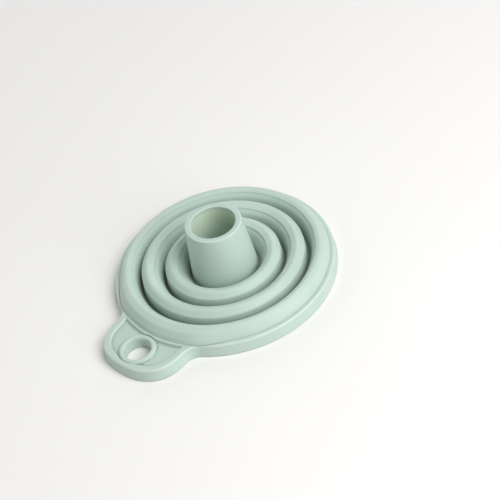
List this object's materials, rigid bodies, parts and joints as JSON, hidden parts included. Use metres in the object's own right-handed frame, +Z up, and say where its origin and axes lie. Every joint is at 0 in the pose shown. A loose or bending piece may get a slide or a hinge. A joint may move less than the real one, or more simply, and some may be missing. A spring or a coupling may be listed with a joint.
{
  "type": "collapsible kitchen funnel",
  "caption": "Collapsible soft funnel, folded flat: round mouth rim, nested tiers joined by thin folds, tapered spout and a hang tab with an eyelet.",
  "frame": {"origin": "centre of the footprint, on the surface that the mouth's rim rests on", "axes": "+Z up along the spout; -Y towards the hang tab; the funnel's axis is at x = 0, y = +7.45 mm"},
  "size_m": [0.078, 0.093, 0.0238],
  "materials": {
    "rim_silicone": "satin pale sage green silicone",
    "tier_silicone": "satin pale sage green silicone",
    "fold_silicone": "matte pale sage green silicone, thin and slightly translucent",
    "spout_silicone": "satin pale sage green silicone"
  },
  "bodies": {
    "mouth": {"mouth_rim": "rim_silicone", "hang_tab": "rim_silicone", "eyelet_ring": "rim_silicone", "outer_tier": "tier_silicone", "outer_fold": "fold_silicone"},
    "middle_stage": {"middle_tier": "tier_silicone", "middle_fold": "fold_silicone"},
    "inner_stage": {"inner_tier": "tier_silicone", "inner_fold": "fold_silicone"},
    "spout_stage": {"spout": "spout_silicone"}
  },
  "joints": [
    {"name": "outer_stage_slide", "type": "slide", "parent": "mouth", "child": "middle_stage", "axis": [0, 0, 1], "range_m": [0, 0.0148], "deforming": ["outer_fold"]},
    {"name": "middle_stage_slide", "type": "slide", "parent": "middle_stage", "child": "inner_stage", "axis": [0, 0, 1], "range_m": [0, 0.0148], "deforming": ["middle_fold"]},
    {"name": "spout_stage_slide", "type": "slide", "parent": "inner_stage", "child": "spout_stage", "axis": [0, 0, 1], "range_m": [0, 0.0148], "deforming": ["inner_fold"]}
  ]
}
